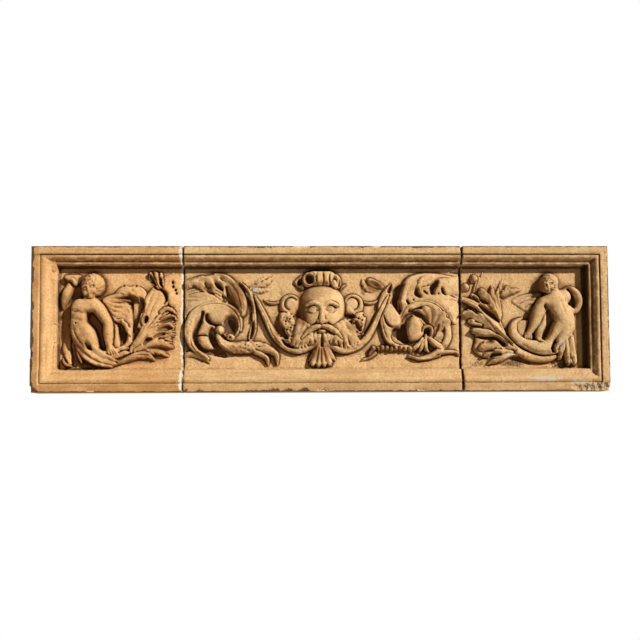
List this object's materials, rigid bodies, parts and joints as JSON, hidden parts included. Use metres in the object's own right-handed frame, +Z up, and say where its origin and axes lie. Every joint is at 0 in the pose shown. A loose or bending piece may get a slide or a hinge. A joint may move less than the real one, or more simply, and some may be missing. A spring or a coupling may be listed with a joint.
{
  "type": "terracotta relief plaque",
  "caption": "Long framed relief panel of fired clay for building into a wall: carved blocks with a bearded mask, scrolling leaves and a winged child at either end.",
  "frame": {"origin": "middle of the flat back, where the plaque is bedded against the wall", "axes": "+Z up, +X to the right along the plaque as seen from the front, +Y out of the back into the wall; the carved front faces -Y"},
  "size_m": [1.21, 0.09, 0.305],
  "materials": {
    "left_terracotta": "orange-tan fired clay, matt and weathered",
    "centre_terracotta": "pinkish tan fired clay, matt and weathered",
    "right_terracotta": "yellow-tan fired clay, pitted and spotted with lichen",
    "lime_mortar": "off-white lime mortar with sand"
  },
  "bodies": {
    "root": {"left_block": "left_terracotta", "centre_block": "centre_terracotta", "right_block": "right_terracotta", "left_joint_mortar": "lime_mortar", "right_joint_mortar": "lime_mortar"}
  },
  "joints": []
}
